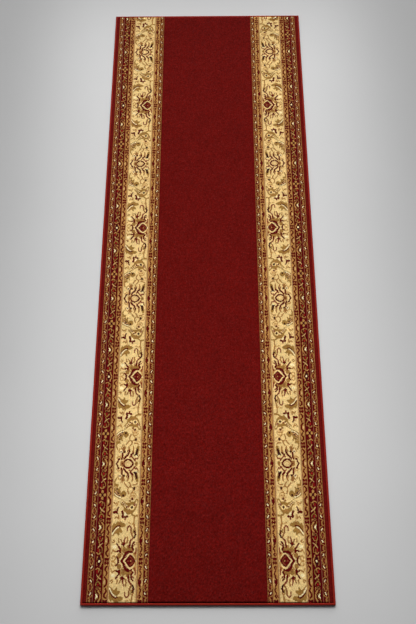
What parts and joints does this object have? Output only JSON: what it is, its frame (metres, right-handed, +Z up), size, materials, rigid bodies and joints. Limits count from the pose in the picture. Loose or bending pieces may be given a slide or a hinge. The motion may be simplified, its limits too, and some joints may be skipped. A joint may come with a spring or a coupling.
{
  "type": "runner rug",
  "caption": "Long narrow pile rug with a plain red field, patterned borders along both long sides and a whipped yarn edge.",
  "frame": {"origin": "middle of the underside, where the rug rests on the floor", "axes": "+X across the width, +Y along the length, +Z up from the floor through the pile"},
  "size_m": [0.67, 2, 0.0084],
  "materials": {
    "woven_ground": "woven, matte",
    "latex_coat": "thin latex over jute weft, matte",
    "field_pile": "cut pile, matte",
    "edge_band_pile": "cut pile, matte",
    "guard_pile": "cut pile, matte",
    "minor_border_pile": "cut pile, matte",
    "main_border_pile": "cut pile, matte",
    "stripe_pile": "cut pile, matte",
    "edge_yarn": "twisted yarn, soft sheen",
    "seam_yarn": "sewing thread, matte"
  },
  "bodies": {
    "root": {"ground_cloth": "woven_ground", "latex_back_coat": "latex_coat", "pile_field": "field_pile", "pile_edge_band_left": "edge_band_pile", "pile_edge_band_right": "edge_band_pile", "pile_outer_guard_left": "guard_pile", "pile_outer_guard_right": "guard_pile", "pile_minor_border_left": "minor_border_pile", "pile_minor_border_right": "minor_border_pile", "pile_middle_guard_left": "guard_pile", "pile_middle_guard_right": "guard_pile", "pile_main_border_left": "main_border_pile", "pile_main_border_right": "main_border_pile", "pile_inner_guard_left": "guard_pile", "pile_inner_guard_right": "guard_pile", "pile_inner_stripe_left": "stripe_pile", "pile_inner_stripe_right": "stripe_pile", "whipped_edge_left": "edge_yarn", "seam_thread_left": "seam_yarn", "whipped_edge_right": "edge_yarn", "seam_thread_right": "seam_yarn", "whipped_edge_near_end": "edge_yarn", "seam_thread_near_end": "seam_yarn", "whipped_edge_far_end": "edge_yarn", "seam_thread_far_end": "seam_yarn"}
  },
  "joints": []
}
